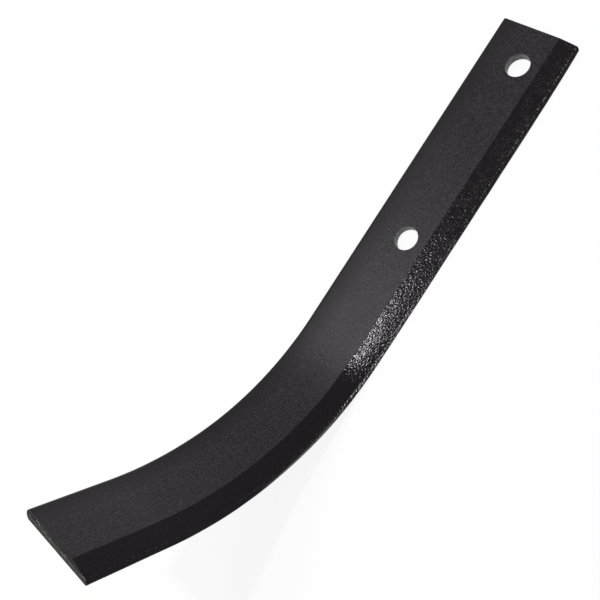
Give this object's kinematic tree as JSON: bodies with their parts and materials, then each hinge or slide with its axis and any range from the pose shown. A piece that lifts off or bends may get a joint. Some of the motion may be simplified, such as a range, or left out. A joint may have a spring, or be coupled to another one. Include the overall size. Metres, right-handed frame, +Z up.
{
  "type": "rotary tiller blade",
  "caption": "Flat steel tiller blade with bolt holes in a straight shank, swept up flatwise to its tip, with a bevelled cutting edge along one side and a rounded back.",
  "frame": {"origin": "midway between the bolt holes, on the flat underside of the shank that seats on the rotor", "axes": "+X along the shank towards the tip, +Y towards the bevelled cutting edge, +Z up, out of the shank's top face and the way the tip is swept"},
  "size_m": [0.278, 0.04, 0.0943],
  "materials": {
    "black_paint": "satin black paint on rolled steel"
  },
  "bodies": {
    "root": {"tiller_blade": "black_paint"}
  },
  "joints": []
}
